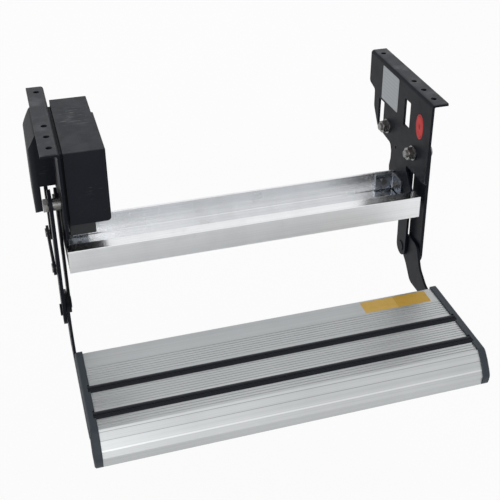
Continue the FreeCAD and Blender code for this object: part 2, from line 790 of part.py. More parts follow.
def build():
    os.makedirs("parts", exist_ok=True)
    for name, side in (("left", LEFT), ("right", RIGHT)):
        save("bracket_" + name, bracket(side))
        save("front_arm_" + name, front_arm(side))
        save("rear_arm_" + name, rear_arm(side))
        save("tread_plate_" + name, tread_plate(side))
        save("end_cap_" + name, end_cap(side))
    both = (LEFT, RIGHT)
    save("cross_channel", cross_channel())
    save("cleats", *[cleat(side) for side in both])
    save("cleat_bolts", *[bolt for side in both for bolt in cleat_bolts(side)])
    bolt_sets = [fixed_bolt(front_pivot, side, front_arm_out + side_clearance) for side in both]
    bolt_sets.append(fixed_bolt(crank_pivot, RIGHT, plate_out))
    for i, name in enumerate(("pivot_bolts", "pivot_washers", "pivot_nuts")):
        save(name, *[bolt_set[i] for bolt_set in bolt_sets])
    save("pivot_sleeves", *[pivot_sleeve(side) for side in both])
    save("rear_studs", *[rear_stud(side) for side in both])
    save("front_pins", *[front_pin_solid(side) for side in both])
    save("rear_pins", *[rear_pin_solid(side) for side in both])
    save("tread_board", tread_board())
    save("grip_strip_rear", grip_strip(strip_centres()[0]))
    save("grip_strip_front", grip_strip(strip_centres()[1]))
    save("tread_screws", *[screw for side in both for screw in tread_screws(side)])
    save("motor_cover", motor_cover())
    save("cable_gland", cable_gland())
    save("motor_plate", motor_plate())
    save("motor", motor())
    save("gearbox_housing", gearbox_housing())
    save("drive_shaft", drive_shaft())
    save("crank", crank())
    save("crank_stud", drive_stud(crank_pin))
    save("lug_stud", drive_stud(lug_pin))
    save("drive_rod", drive_rod())
    save("crank_guard", crank_guard())
    save("guard_screws", *guard_screws())


build()
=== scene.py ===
import bmesh
import bpy
import numpy as np
from mathutils import Matrix, Vector


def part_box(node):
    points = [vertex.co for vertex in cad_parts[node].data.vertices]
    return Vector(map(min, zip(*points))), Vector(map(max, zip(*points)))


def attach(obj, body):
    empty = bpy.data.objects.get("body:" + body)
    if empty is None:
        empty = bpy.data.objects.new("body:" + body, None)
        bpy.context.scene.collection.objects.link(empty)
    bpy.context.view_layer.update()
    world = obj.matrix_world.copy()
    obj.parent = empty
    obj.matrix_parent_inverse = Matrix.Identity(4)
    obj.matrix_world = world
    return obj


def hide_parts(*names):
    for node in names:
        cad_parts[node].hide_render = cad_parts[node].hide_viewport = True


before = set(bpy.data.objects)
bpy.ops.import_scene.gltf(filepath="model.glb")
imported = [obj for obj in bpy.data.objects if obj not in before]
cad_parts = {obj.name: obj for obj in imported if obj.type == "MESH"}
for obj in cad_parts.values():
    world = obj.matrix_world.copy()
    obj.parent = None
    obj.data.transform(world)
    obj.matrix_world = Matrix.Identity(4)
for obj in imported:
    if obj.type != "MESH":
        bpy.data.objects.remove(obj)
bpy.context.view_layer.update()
print("frame loaded with", len(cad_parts), "nodes")


# Helpers for materials. In the dictionaries further down a noise is its size and detail, with its stretch
# and roughness where they matter. Patches are a noise and the two levels between which they fade in. Edges
# are the reach of the wear along them, in metres, and two such levels. Any other reach is a half width and
# how softly it ends. Shares say how far a colour gives way.

class Wire:
    # A node's output that can be used in sums. Each sum adds one Math node.
    def __init__(self, recipe, socket):
        self.recipe, self.socket = recipe, socket

    def maths(self, operation, left, right=0.0):
        return self.recipe.node("ShaderNodeMath", {"operation": operation}, {0: left, 1: right})

    def __add__(self, other):
        return self.maths("ADD", self, other)

    def __radd__(self, other):
        return self.maths("ADD", other, self)

    def __sub__(self, other):
        return self.maths("SUBTRACT", self, other)

    def __rsub__(self, other):
        return self.maths("SUBTRACT", other, self)

    def __mul__(self, other):
        return self.maths("MULTIPLY", self, other)

    def __rmul__(self, other):
        return self.maths("MULTIPLY", other, self)

    def __abs__(self):
        return self.maths("ABSOLUTE", self)


class Recipe:
    # The nodes of one material or of the world.
    def __init__(self, owner):
        owner.use_nodes = True
        self.tree = owner.node_tree
        self.tree.nodes.clear()

    def node(self, kind, settings=None, sockets=None, out=0):
        made = self.tree.nodes.new(kind)
        for name, value in (settings or {}).items():
            setattr(made, name, value)
        for name, value in (sockets or {}).items():
            if isinstance(value, Wire):
                self.tree.links.new(value.socket, made.inputs[name])
            else:
                made.inputs[name].default_value = value
        if len(made.outputs):
            return Wire(self, made.outputs[out])

    def space(self, stretch=(1, 1, 1)):
        # Object coordinates in metres, stretched along each axis.
        where = self.node("ShaderNodeTexCoord", out="Object")
        return self.node("ShaderNodeMapping", None, {"Vector": where, "Scale": stretch})

    def axes(self):
        # The same coordinates one by one, not stretched.
        where = self.node("ShaderNodeTexCoord", out="Object")
        split = self.node("ShaderNodeSeparateXYZ", None, {0: where})
        return [Wire(self, socket) for socket in split.socket.node.outputs]

    def noise(self, size, detail=3.0, stretch=(1, 1, 1), rough=0.55):
        return self.node("ShaderNodeTexNoise", None, {
            "Vector": self.space(stretch), "Scale": size, "Detail": detail, "Roughness": rough})

    def between(self, value, low, high, least=0.0, most=1.0):
        # Least below low, most above high, and a smooth step from one to the other.
        return self.node("ShaderNodeMapRange", {"interpolation_type": "SMOOTHSTEP"}, {
            "Value": value, "From Min": low, "From Max": high, "To Min": least, "To Max": most})

    def patches(self, noise, low, high):
        return self.between(self.noise(*noise), low, high)

    def near(self, value, centre, half, soft):
        # 1 within half of centre, and 0 beyond half plus soft.
        return 1 - self.between(abs(value - centre), half, half + soft)

    def tint(self, factor, first, second):
        # From the first colour to the second. The numbers are the node's sockets for colours.
        return self.node("ShaderNodeMix", {"data_type": "RGBA"},
                         {0: factor, 6: opaque(first), 7: opaque(second)}, out=2)

    def rounded(self, reach):
        return self.node("ShaderNodeBevel", {"samples": 6}, {"Radius": reach})

    def wear(self, reach, low, high):
        # How far the rounded normal leaves the true one: 0 on flats, larger along edges.
        flat = self.node("ShaderNodeNewGeometry", out="Normal")
        alike = self.node("ShaderNodeVectorMath", {"operation": "DOT_PRODUCT"},
                          {0: self.rounded(reach), 1: flat}, out="Value")
        return self.between(1 - alike, low, high)

    def finish(self, colour, roughness, metallic, height, depth, rounding, gloss=0.5):
        bump = self.node("ShaderNodeBump", None, {
            "Height": height, "Distance": depth, "Normal": self.rounded(rounding)})
        shader = self.node("ShaderNodeBsdfPrincipled", None, {
            "Base Color": opaque(colour), "Roughness": roughness, "Metallic": metallic, "Normal": bump,
            "Specular IOR Level": gloss})
        self.node("ShaderNodeOutputMaterial", None, {"Surface": shader})


def opaque(colour):
    return colour if isinstance(colour, Wire) else (*colour, 1.0)


def newFinish(name):
    material = bpy.data.materials.new(name)
    return material, Recipe(material)


def dress(material, *names):
    for name in names:
        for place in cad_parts[name].material_slots:
            place.material = material


# Helpers for surfaces.

meshing = {
    "merge": 1e-7,          # points closer than this become one
    "crease": 0.6,          # edges sharper than this angle stay sharp
    "padSink": 0.00005,     # how far a pad's underside lies inside what carries it
    "padUnder": 3,          # rings on a pad's underside
}


def gridQuads(rows, columns, first):
    # Neighbours on a grid of points join into quads, and the last column joins the first.
    i, j = np.meshgrid(np.arange(rows - 1), np.arange(columns), indexing="ij")
    j2 = (j + 1) % columns
    corners = [i * columns + j, (i + 1) * columns + j, (i + 1) * columns + j2, i * columns + j2]
    return first + np.stack(corners, -1).reshape(-1, 4)


def makePiece(name, grids, material, body=None, crease=meshing["crease"]):
    # One mesh from grids of points shaped rows x columns x 3. Poles merge and faces turn outwards.
    points = np.concatenate([grid.reshape(-1, 3) for grid in grids])
    starts = np.cumsum([0] + [grid.shape[0] * grid.shape[1] for grid in grids])
    quads = np.concatenate([gridQuads(*grid.shape[:2], first) for grid, first in zip(grids, starts)])
    mesh = bpy.data.meshes.new(name)
    mesh.vertices.add(len(points))
    mesh.vertices.foreach_set("co", points.ravel())
    mesh.loops.add(quads.size)
    mesh.loops.foreach_set("vertex_index", quads.ravel().astype(np.int32))
    mesh.polygons.add(len(quads))
    mesh.polygons.foreach_set("loop_start", (np.arange(len(quads)) * 4).astype(np.int32))
    mesh.update(calc_edges=True)
    cleaner = bmesh.new()
    cleaner.from_mesh(mesh)
    bmesh.ops.remove_doubles(cleaner, verts=cleaner.verts, dist=meshing["merge"])
    bmesh.ops.recalc_face_normals(cleaner, faces=cleaner.faces)
    cleaner.to_mesh(mesh)
    cleaner.free()
    mesh.polygons.foreach_set("use_smooth", np.ones(len(mesh.polygons), bool))
    mesh.set_sharp_from_angle(angle=crease)
    mesh.materials.append(material)
    piece = bpy.data.objects.new(name, mesh)
    bpy.context.scene.collection.objects.link(piece)
    if body:
        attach(piece, body)
    return piece


def pad(centre, outward, half, power, top, rings=24, spokes=72):
    # Rings of superellipses, |x/a|^n + |y/b|^n = r^n, run out from the middle over the upper side, whose
    # height above the seat is top(x, y, r), and come back underneath, just inside what carries the pad.
    ring = np.concatenate([np.linspace(0, 1, rings), np.linspace(1, 0, meshing["padUnder"])])[:, None]
    turn = np.linspace(0, 2 * np.pi, spokes, endpoint=False)[None, :]
    cosine, sine = np.cos(turn), np.sin(turn)
    x = ring * half[0] * np.sign(cosine) * np.abs(cosine) ** (2 / power)
    y = ring * half[1] * np.sign(sine) * np.abs(sine) ** (2 / power)
    upper = np.arange(rings + meshing["padUnder"])[:, None] < rings
    height = np.where(upper, top(x, y, ring), -meshing["padSink"])
    outward = np.array(outward, float)
    across, up = np.abs(np.roll(outward, 1)), np.abs(np.roll(outward, 2))
    return np.array(centre) + x[..., None] * across + y[..., None] * up + height[..., None] * outward


def lathe(centre, axis, along, radius, spokes=64, flutes=0, fluteDepth=0.0):
    # A profile (along, radius) turned round an axis. At each angle t the radius is less by
    # fluteDepth * (0.5 - 0.5 cos(flutes t))^2, with one depth for each point of the profile.
    turn = np.linspace(0, 2 * np.pi, spokes, endpoint=False)[None, :]
    along, radius = np.array(along)[:, None], np.array(radius)[:, None]
    radius = radius - np.broadcast_to(fluteDepth, along.shape) * (0.5 - 0.5 * np.cos(flutes * turn)) ** 2
    axis = np.array(axis, float)
    first, second = np.roll(axis, 1), np.roll(axis, 2)
    return (np.array(centre) + (along * np.ones_like(turn))[..., None] * axis
            + (radius * np.cos(turn))[..., None] * first + (radius * np.sin(turn))[..., None] * second)


# Camera, floor and light.

shot = {
    "lens": 67.83,
    "shift": (-0.06, -0.12),
    "azimuth": -17.848,
    "elevation": 29.719,
    "roll": 0.597,
    "place": (-0.33026, -1.25297, 0.57657),
    "farthest": 60,
}


def makeCamera():
    around, above, roll = np.radians([shot["azimuth"], shot["elevation"], shot["roll"]])
    back = Vector((np.sin(around) * np.cos(above), -np.cos(around) * np.cos(above), np.sin(above)))
    side = Vector((np.cos(around), np.sin(around), 0))
    top = back.cross(side)
    side, top = side * np.cos(roll) + top * np.sin(roll), top * np.cos(roll) - side * np.sin(roll)
    lens = bpy.data.cameras.new("camera")
    lens.lens, (lens.shift_x, lens.shift_y) = shot["lens"], shot["shift"]
    lens.clip_end = shot["farthest"]
    eye = bpy.data.objects.new("camera", lens)
    turned = Matrix((side, top, back)).transposed().to_4x4()
    eye.matrix_world = Matrix.Translation(shot["place"]) @ turned
    bpy.context.scene.collection.objects.link(eye)
    bpy.context.scene.camera = eye


studio = {
    "floorLevel": -0.62,
    "floorReach": 14.0,
    "floorFlat": 8.0,           # level up to here, rising beyond
    "floorRise": 0.02,
    "floorGrid": (30, 72),      # rings and spokes
    "floorColours": ((0.90, 0.90, 0.90), (0.8865, 0.8865, 0.8865)),
    "floorGrain": (3.0, 2.0),
    "floorGlow": 0.88,          # share of plain white that the camera and mirrors see in the floor
    "white": (1, 1, 1, 1),
    "seenBy": ("Camera", "Glossy", "Transmission"),     # rays that see plain white
    "roomLight": 0.62,
    "aim": (0, -0.05, -0.17),
    "lamps": {
        "key": {"place": (-0.9, -2.7, 0.8), "size": 1.6, "power": 17, "mirrored": True},
        "fill": {"place": (2.6, -1.6, 1.6), "size": 2.0, "power": 12, "mirrored": False},
        "rear": {"place": (0.3, 2.4, 2.4), "size": 2.6, "power": 30, "mirrored": False},
    },
}


def seesWhite(recipe):
    return sum(recipe.node("ShaderNodeLightPath", out="Is " + kind + " Ray") for kind in studio["seenBy"])


def makeFloor():
    # A wide disc: level near the middle, then rising by floorRise times the square of the distance beyond.
    rings, spokes = studio["floorGrid"]
    reach = np.linspace(0, studio["floorReach"], rings)[:, None]
    turn = np.linspace(0, 2 * np.pi, spokes, endpoint=False)[None, :]
    level = studio["floorLevel"] + studio["floorRise"] * np.maximum(reach - studio["floorFlat"], 0) ** 2
    grid = np.stack([reach * np.cos(turn), reach * np.sin(turn), level * np.ones_like(turn)], -1)
    material, recipe = newFinish("paleFloor")
    colour = recipe.tint(recipe.noise(*studio["floorGrain"]), *studio["floorColours"])
    matt = recipe.node("ShaderNodeBsdfDiffuse", None, {"Color": colour})
    white = recipe.node("ShaderNodeEmission", None, {"Color": studio["white"], "Strength": 1.0})
    share = seesWhite(recipe) * studio["floorGlow"]
    mixed = recipe.node("ShaderNodeMixShader", None, {0: share, 1: matt, 2: white})
    recipe.node("ShaderNodeOutputMaterial", None, {"Surface": mixed})
    floor = makePiece("floor", [grid], material)
    normals = np.zeros(len(floor.data.polygons) * 3)
    floor.data.polygons.foreach_get("normal", normals)
    if normals[2::3].mean() < 0:
        floor.data.flip_normals()


def makeLight():
    world = bpy.data.worlds.new("studio")
    bpy.context.scene.world = world
    recipe = Recipe(world)
    strength = recipe.between(seesWhite(recipe), 0.0, 1.0, studio["roomLight"], 1.0)
    sky = recipe.node("ShaderNodeBackground", None, {"Color": studio["white"], "Strength": strength})
    recipe.node("ShaderNodeOutputWorld", None, {"Surface": sky})
    for name, lamp in studio["lamps"].items():
        light = bpy.data.lights.new(name, "AREA")
        light.size, light.energy = lamp["size"], lamp["power"]
        thing = bpy.data.objects.new(name, light)
        thing.location = lamp["place"]
        ahead = Vector(studio["aim"]) - thing.location
        thing.rotation_euler = ahead.to_track_quat("-Z", "Y").to_euler()
        thing.visible_camera = False
        thing.visible_glossy = lamp["mirrored"]
        bpy.context.scene.collection.objects.link(thing)


makeCamera()
makeFloor()
makeLight()
bpy.context.scene.view_settings.view_transform = "Standard"
print("camera, floor and light made")


# Black paint on the steel plates, arms, riveted pins, crank and rod, with dust and painted light on the
# flanges' tops.

blackPaint = {
    "colour": (0.0016, 0.0028, 0.0068),
    "dusty": (0.0066, 0.0082, 0.0128),
    "worn": (0.10, 0.10, 0.102),
    "shelfDustAndLight": (0.076, 0.080, 0.088),     # dust and painted light on the flanges' tops, paler as if lit from above
    "flangeTop": 0.0,
    "flangeReach": (0.0006, 0.0006),
    "shelfShares": (0.45, 0.75),        # everywhere on the tops as painted light, and more in the dust patches
    "dust": ((24, 5.0), 0.45, 0.75),
    "speck": ((1900, 1.0), 0.66, 0.74),
    "chips": ((240, 4.0), 0.52, 0.62),
    "edges": (0.0009, 0.03, 0.2),
    "shares": (0.6, 0.25, 0.7),         # of dust, speck and wear
    "roughness": (0.42, 0.56),
    "roughNoise": (60, 4.0),
    "wornRoughness": 0.1,
    "gloss": 0.13,
    "peel": (620, 1.5),
    "peelDepth": 0.00010,
    "speckHeight": 0.15,
    "rounding": 0.0006,
}


def blackPaintFinish():
    skin = blackPaint
    material, recipe = newFinish("blackPaint")
    dust, speck = recipe.patches(*skin["dust"]), recipe.patches(*skin["speck"])
    worn = recipe.wear(*skin["edges"]) * recipe.patches(*skin["chips"])
    dustShare, speckShare, wornShare = skin["shares"]
    even, patchy = skin["shelfShares"]
    onTop = recipe.near(recipe.axes()[2], skin["flangeTop"], *skin["flangeReach"])
    colour = recipe.tint(dust * dustShare + speck * speckShare, skin["colour"], skin["dusty"])
    # The flanges' tops are painted paler, as if lit from above, with more in the dust patches.
    colour = recipe.tint(onTop * (even + dust * patchy), colour, skin["shelfDustAndLight"])
    colour = recipe.tint(worn * wornShare, colour, skin["worn"])
    low, high = skin["roughness"]
    rough = low + recipe.noise(*skin["roughNoise"]) * (high - low) + worn * skin["wornRoughness"]
    peel = recipe.noise(*skin["peel"]) + speck * skin["speckHeight"]
    recipe.finish(colour, rough, 0.0, peel, skin["peelDepth"], skin["rounding"], skin["gloss"])
    return material


dress(blackPaintFinish(), "bracket_left", "bracket_right", "motor_plate", "front_arm_left",
      "front_arm_right", "rear_arm_left", "rear_arm_right", "tread_plate_left", "tread_plate_right",
      "front_pins", "rear_pins", "crank", "drive_rod")


# Zinc plate on the bolts, nuts, washers, sleeves, studs, screws and the drive shaft.

zincPlate = {
    "bright": (0.25, 0.25, 0.25),
    "dull": (0.085, 0.085, 0.084),
    "yellowed": (0.20, 0.197, 0.185),
    "cloud": ((90, 5.0), 0.35, 0.7),
    "grime": ((300, 4.0), 0.55, 0.7),
    "spangle": (800, 2.0),
    "grimeShare": 0.65,
    "roughness": (0.26, 0.404),
    "grimeRoughness": 0.12,
    "grimeHeight": 0.4,
    "depth": 0.00002,
    "rounding": 0.0004,
}


def zincPlateFinish():
    skin = zincPlate
    material, recipe = newFinish("zincPlate")
    cloud, grime = recipe.patches(*skin["cloud"]), recipe.patches(*skin["grime"])
    colour = recipe.tint(cloud, skin["bright"], skin["yellowed"])
    colour = recipe.tint(grime * skin["grimeShare"], colour, skin["dull"])
    low, high = skin["roughness"]
    rough = low + cloud * (high - low) + grime * skin["grimeRoughness"]
    bumps = recipe.noise(*skin["spangle"]) + grime * skin["grimeHeight"]
    recipe.finish(colour, rough, 1.0, bumps, skin["depth"], skin["rounding"])
    return material


zincMaterial = zincPlateFinish()
dress(zincMaterial, "cleat_bolts", "pivot_bolts", "pivot_washers", "pivot_nuts", "pivot_sleeves",
      "rear_studs", "guard_screws", "lug_stud", "tread_screws", "drive_shaft", "crank_stud")


# Dull steel on the two cleats.

cleatSteel = {
    "colour": (0.26, 0.28, 0.315),
    "rubbed": (0.44, 0.45, 0.47),
    "cloud": ((70, 5.0), 0.4, 0.7),
    "edges": (0.0010, 0.03, 0.22),
    "shares": (0.6, 0.3),               # of wear and cloud
    "rolling": (1.0, 3.0, (700, 700, 25)),
    "roughness": (0.22, 0.42),
    "depth": 0.00002,
    "rounding": 0.0006,
}


def cleatSteelFinish():
    skin = cleatSteel
    material, recipe = newFinish("cleatSteel")
    cloud, worn = recipe.patches(*skin["cloud"]), recipe.wear(*skin["edges"])
    wornShare, cloudShare = skin["shares"]
    colour = recipe.tint(worn * wornShare + cloud * cloudShare, skin["colour"], skin["rubbed"])
    low, high = skin["roughness"]
    rough = low + cloud * (high - low)
    recipe.finish(colour, rough, 1.0, recipe.noise(*skin["rolling"]), skin["depth"], skin["rounding"])
    return material


dress(cleatSteelFinish(), "cleats")


# Mill-finished cross channel, with fine and broad die lines along its length, stains, and darker soft
# bands across it that are painted reflection.

millSkin = {
    "bright": (0.86, 0.87, 0.885),
    "dull": (0.77, 0.78, 0.795),
    "stainAndPaintedBand": (0.58, 0.575, 0.57),
    "dieLines": (1.0, 2.0, (2.5, 3600, 3600)),
    "broadLines": (1.0, 2.0, (1.2, 160, 160)),
    "lineRange": (0.35, 0.65),
    "reflectionBands": ((1.0, 3.0, (16, 3, 3)), 0.4, 0.7),
    "stain": ((26, 6.0, (0.7, 1, 1), 0.65), 0.55, 0.78),
    "rubs": ((1.0, 2.0, (260, 22, 22)), 0.62, 0.75),
    "shares": (0.4, 0.15),              # of stain and the painted reflection bands
    "roughness": (0.15, 0.26),
    "roughRange": (0.3, 0.7),
    "stainRoughness": 0.12,
    "rubRoughness": 0.05,
    "frontFace": -0.0995,               # the front rail's face is more worn than the rest
    "frontReach": (0.0002, 0.0004),
    "frontRoughness": 0.20,
    "broadHeight": 0.3,
    "depth": 0.000016,
    "rounding": 0.0004,
}


def millSkinFinish():
    skin = millSkin
    material, recipe = newFinish("millSkin")
    dieLines, broadLines = recipe.noise(*skin["dieLines"]), recipe.noise(*skin["broadLines"])
    stain = recipe.patches(*skin["stain"])
    stainShare, paintedBandShare = skin["shares"]
    lines = recipe.between(dieLines * 0.5 + broadLines * 0.5, *skin["lineRange"])
    colour = recipe.tint(lines, skin["dull"], skin["bright"])
    # Stains, and darker soft bands across the length that are painted reflection.
    colour = recipe.tint(stain * stainShare + recipe.patches(*skin["reflectionBands"]) * paintedBandShare,
                         colour, skin["stainAndPaintedBand"])
    low, high = skin["roughness"]
    front = recipe.near(recipe.axes()[1], skin["frontFace"], *skin["frontReach"])
    rough = (low + recipe.between(dieLines, *skin["roughRange"]) * (high - low)
             + stain * skin["stainRoughness"] + recipe.patches(*skin["rubs"]) * skin["rubRoughness"]
             + front * skin["frontRoughness"])
    bumps = dieLines + broadLines * skin["broadHeight"]
    recipe.finish(colour, rough, 1.0, bumps, skin["depth"], skin["rounding"])
    return material


dress(millSkinFinish(), "cross_channel")


# Anodised tread: die lines, painted shade in the grooves on top and in two fine lines on the nose, and a
# painted highlight along the nose's ridge.

anodisedSkin = {
    "pale": (0.53, 0.545, 0.55),
    "deep": (0.45, 0.465, 0.47),
    "grooved": (0.25, 0.26, 0.265),
    "dieLines": (1.0, 3.0, (2.0, 900, 900)),
    "broadLines": (1.0, 2.0, (1.0, 110, 110)),
    "cloud": (9, 4.0),
    "grain": (2400, 2.0),
    "mixture": (0.45, 0.35, 0.2),       # of die lines, broad lines and cloud
    "mixRange": (0.36, 0.64),
    "treadTop": -0.300,
    "grooveStart": (0.00015, 0.0005),   # depths at which a groove's painted shade fades in, and out again
    "grooveEnd": (0.0010, 0.0016),
    "grooveArea": (-0.320, -0.318),     # the grooves end here, before the nose
    "noseArea": (-0.3212, -0.3204),
    "noseLines": (-0.3028, -0.3112),
    "noseLineReach": (0.0002, 0.0003),
    "ridge": -0.3222,
    "ridgeReach": (0.0005, 0.0007),
    "ridgeRange": (0.3, 0.6, 0.5),      # two levels of the broad lines, and the ridge's least share
    "ridgeHighlight": (0.66, 0.67, 0.675),
    "shares": (0.30, 0.85),             # of the painted shade in grooves and fine lines
    "roughness": (0.34, 0.46),
    "heights": (0.4, 0.6),              # of die lines and grain
    "depth": 0.00003,
    "rounding": 0.0005,
}


def anodisedSkinFinish():
    skin = anodisedSkin
    material, recipe = newFinish("anodisedSkin")
    y, z = recipe.axes()[1:]
    noises = [recipe.noise(*skin[name]) for name in ("dieLines", "broadLines", "cloud")]
    mixing = recipe.between(sum(noise * share for noise, share in zip(noises, skin["mixture"])),
                            *skin["mixRange"])
    below = skin["treadTop"] - z
    # Painted shade on the grooves' walls, just below the top.
    sunk = recipe.between(below, *skin["grooveStart"]) * (1 - recipe.between(below, *skin["grooveEnd"]))
    nose = 1 - recipe.between(y, *skin["noseArea"])
    fine = sum(recipe.near(z, line, *skin["noseLineReach"]) for line in skin["noseLines"])
    grooveShare, fineShare = skin["shares"]
    lines = sunk * recipe.between(y, *skin["grooveArea"]) * grooveShare + fine * nose * fineShare
    # A painted highlight along the ridge where two facets of the nose meet.
    ridge = (recipe.near(z, skin["ridge"], *skin["ridgeReach"]) * nose
             * recipe.between(noises[1], *skin["ridgeRange"]))
    colour = recipe.tint(mixing, skin["deep"], skin["pale"])
    colour = recipe.tint(lines, colour, skin["grooved"])
    colour = recipe.tint(ridge, colour, skin["ridgeHighlight"])
    low, high = skin["roughness"]
    lineHeight, grainHeight = skin["heights"]
    bumps = noises[0] * lineHeight + recipe.noise(*skin["grain"]) * grainHeight
    recipe.finish(colour, low + mixing * (high - low), 1.0, bumps, skin["depth"], skin["rounding"])
    return material


dress(anodisedSkinFinish(), "tread_board")


# Rubber strips, with a painted highlight on each strip's rising rear slope.

rubberSkin = {
    "colour": (0.0006, 0.0018, 0.0056),
    "riseHighlight": (0.036, 0.038, 0.045),
    "dusty": (0.016, 0.017, 0.020),
    "middles": (-0.2410, -0.2940),      # of the rear and the front strip
    "slit": -0.0024,                    # a sunken line, from a strip's middle
    "slitReach": (0.0006, 0.0006),
    "rise": (-0.0020, 0.0060),          # the strip rises towards its rear edge, with a painted highlight on the rise
    "reach": (0.0080, 0.0004),          # of the painted highlight, from a strip's middle
    "dust": ((60, 6.0, (0.5, 2, 2)), 0.48, 0.8),
    "grain": (1500, 3.0),
    "shares": (0.8, 0.4),               # of the painted highlight and dust
    "roughness": 0.52,
    "dustRoughness": 0.2,
    "gloss": 0.24,
    "heights": (0.15, 0.5),             # of grain and the raised part
    "depth": 0.0005,
    "rounding": 0.0003,
}


def rubberSkinFinish():
    skin = rubberSkin
    material, recipe = newFinish("rubberSkin")
    y = recipe.axes()[1]
    dust = recipe.patches(*skin["dust"])
    slits = sum(recipe.near(y, middle + skin["slit"], *skin["slitReach"]) for middle in skin["middles"])
    # Painted highlight on the rising rear part of each strip; the same mask also raises the bump.
    riseHighlight = sum(recipe.between(y - middle, *skin["rise"]) * recipe.near(y, middle, *skin["reach"])
                 for middle in skin["middles"])
    highlightShare, dustShare = skin["shares"]
    colour = recipe.tint(riseHighlight * highlightShare, skin["colour"], skin["riseHighlight"])
    colour = recipe.tint(dust * dustShare, colour, skin["dusty"])
    grainHeight, raisedHeight = skin["heights"]
    bumps = recipe.noise(*skin["grain"]) * grainHeight + riseHighlight * raisedHeight - slits
    recipe.finish(colour, skin["roughness"] + dust * skin["dustRoughness"], 0.0, bumps,
                  skin["depth"], skin["rounding"], skin["gloss"])
    return material


dress(rubberSkinFinish(), "grip_strip_rear", "grip_strip_front")


# Moulded end caps, motor cover, crank guard and gland. The cover's top is scraped, and paler with dust and
# painted light.

scrapes = {
    "middle": (-0.241, 0.006),
    "size": (0.020, 0.030),
    "level": -0.004,                    # of the cover's top
    "levelReach": (0.001, 0.002),
    "strokes": ((1.0, 4.0, (60, 420, 60), 0.6), 0.53, 0.66),
    "dustAndLightReach": (0.0008, 0.001),
    "dustAndLightRange": (0.35, 0.65, 0.4, 1.2),    # two levels of the cloud, and how much dust and painted light at each
    "dustShare": 0.34,
}

mouldedSkins = {
    "capSkin": {"colour": (0.018, 0.026, 0.036), "worn": (0.075, 0.090, 0.105), "roughness": 0.40,
                "grain": 1300, "grainDepth": 0.00008, "gloss": 0.34, "scraped": False,
                "scuffShare": 1.0, "cloudShare": 0.12},
    "coverSkin": {"colour": (0.0014, 0.0026, 0.0070), "worn": (0.095, 0.099, 0.108), "roughness": 0.46,
                  "grain": 900, "grainDepth": 0.00014, "gloss": 0.17, "scraped": True,
                  "scuffShare": 0.5, "cloudShare": 0.05},
}

moulding = {
    "cloud": (30, 5.0),
    "scuffs": ((1.0, 4.0, (70, 520, 520)), 0.6, 0.72),
    "scuffAreas": ((22, 2.0), 0.52, 0.66),
    "edges": (0.0011, 0.02, 0.22),
    "shares": (0.75, 0.30),             # of scuffs and worn edges
    "roughnesses": (0.14, 0.08),        # added by the cloud, and taken by worn edges
    "rounding": 0.0006,
}


def scrapesDustAndLight(recipe, cloud):
    x, y, z = recipe.axes()
    (a, b), (wide, long) = scrapes["middle"], scrapes["size"]
    spot = recipe.near(x, a, wide / 2, wide) * recipe.near(y, b, long / 2, long)
    spot = spot * recipe.near(z, scrapes["level"], *scrapes["levelReach"])
    # Dust and painted light: the cover's top is paler, as if lit from above.
    dust = recipe.near(z, scrapes["level"], *scrapes["dustAndLightReach"])
    dust = dust * recipe.between(cloud, *scrapes["dustAndLightRange"]) * scrapes["dustShare"]
    return spot * recipe.patches(*scrapes["strokes"]) + dust


def mouldedFinish(name):
    skin = mouldedSkins[name]
    material, recipe = newFinish(name)
    leather = recipe.node("ShaderNodeTexVoronoi", None, {"Vector": recipe.space(), "Scale": skin["grain"]})
    cloud, worn = recipe.noise(*moulding["cloud"]), recipe.wear(*moulding["edges"])
    scuffs = recipe.patches(*moulding["scuffs"]) * recipe.patches(*moulding["scuffAreas"])
    scuffs = scuffs * skin["scuffShare"]
    if skin["scraped"]:
        # The cover's top also takes its scrapes, and dust with painted light.
        scuffs = scuffs + scrapesDustAndLight(recipe, cloud)
    scuffShare, wornShare = moulding["shares"]
    colour = recipe.tint(scuffs * scuffShare + worn * wornShare + cloud * skin["cloudShare"],
                         skin["colour"], skin["worn"])
    added, taken = moulding["roughnesses"]
    rough = skin["roughness"] + cloud * added - worn * taken
    recipe.finish(colour, rough, 0.0, leather, skin["grainDepth"], moulding["rounding"], skin["gloss"])
    return material


coverMaterial = mouldedFinish("coverSkin")
dress(mouldedFinish("capSkin"), "end_cap_left", "end_cap_right")
dress(coverMaterial, "motor_cover", "crank_guard")


# Castings: the gearbox and the motor inside the cover.

castSkins = {
    "castHousing": {"colour": (0.014, 0.015, 0.017), "bare": (0.060, 0.062, 0.064), "roughness": 0.58,
                    "metallic": 0.0, "pits": 420, "pitDepth": 0.00030},
    "motorCan": {"colour": (0.030, 0.031, 0.034), "bare": (0.20, 0.20, 0.20), "roughness": 0.42,
                 "metallic": 0.4, "pits": 900, "pitDepth": 0.00006},
}

casting = {
    "pitNoise": (5.0, (1, 1, 1), 0.65),     # detail, stretch and roughness, after each casting's pit size
    "pitRange": (0.62, 0.75),
    "edges": (0.0012, 0.03, 0.25),
    "edgePatches": ((200, 3.0), 0.45, 0.6),
    "shares": (0.8, 0.3),                   # of worn edges and pits
    "pitRoughness": 0.12,
    "rounding": 0.0008,
}


def castFinish(name):
    skin = castSkins[name]
    material, recipe = newFinish(name)
    pits = recipe.noise(skin["pits"], *casting["pitNoise"])
    worn = recipe.wear(*casting["edges"]) * recipe.patches(*casting["edgePatches"])
    wornShare, pitShare = casting["shares"]
    colour = recipe.tint(worn * wornShare + recipe.between(pits, *casting["pitRange"]) * pitShare,
                         skin["colour"], skin["bare"])
    rough = skin["roughness"] + pits * casting["pitRoughness"]
    recipe.finish(colour, rough, skin["metallic"], pits, skin["pitDepth"], casting["rounding"])
    return material


dress(castFinish("castHousing"), "gearbox_housing")
dress(castFinish("motorCan"), "motor")
print("finishes made")


